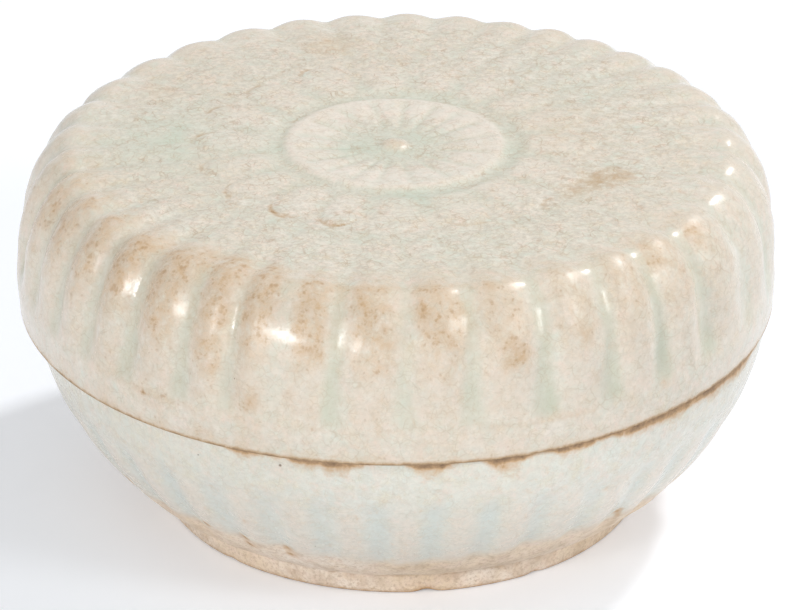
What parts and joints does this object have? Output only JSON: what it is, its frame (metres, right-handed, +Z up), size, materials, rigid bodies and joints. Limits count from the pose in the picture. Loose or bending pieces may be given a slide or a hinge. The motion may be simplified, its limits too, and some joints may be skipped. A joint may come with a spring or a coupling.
{
  "type": "covered porcelain box",
  "caption": "Round glazed porcelain box moulded as a chrysanthemum, with a fluted bowl on a low bare foot and a lift-off lid that drops over an inner rim.",
  "frame": {"origin": "centre of the foot, on the table the box stands on", "axes": "+Z up along the box's axis, towards the lid; -Y faces the viewer in the picture; +X to the viewer's right"},
  "size_m": [0.12, 0.1198, 0.0602],
  "materials": {
    "base_glaze": "gloss",
    "lid_glaze": "gloss"
  },
  "bodies": {
    "base": {"box_base": "base_glaze"},
    "lid": {"lid": "lid_glaze"}
  },
  "joints": [
    {"name": "lid_lift", "type": "slide", "parent": "base", "child": "lid", "axis": [0, 0, 1], "range_m": [0, 0.08]}
  ]
}
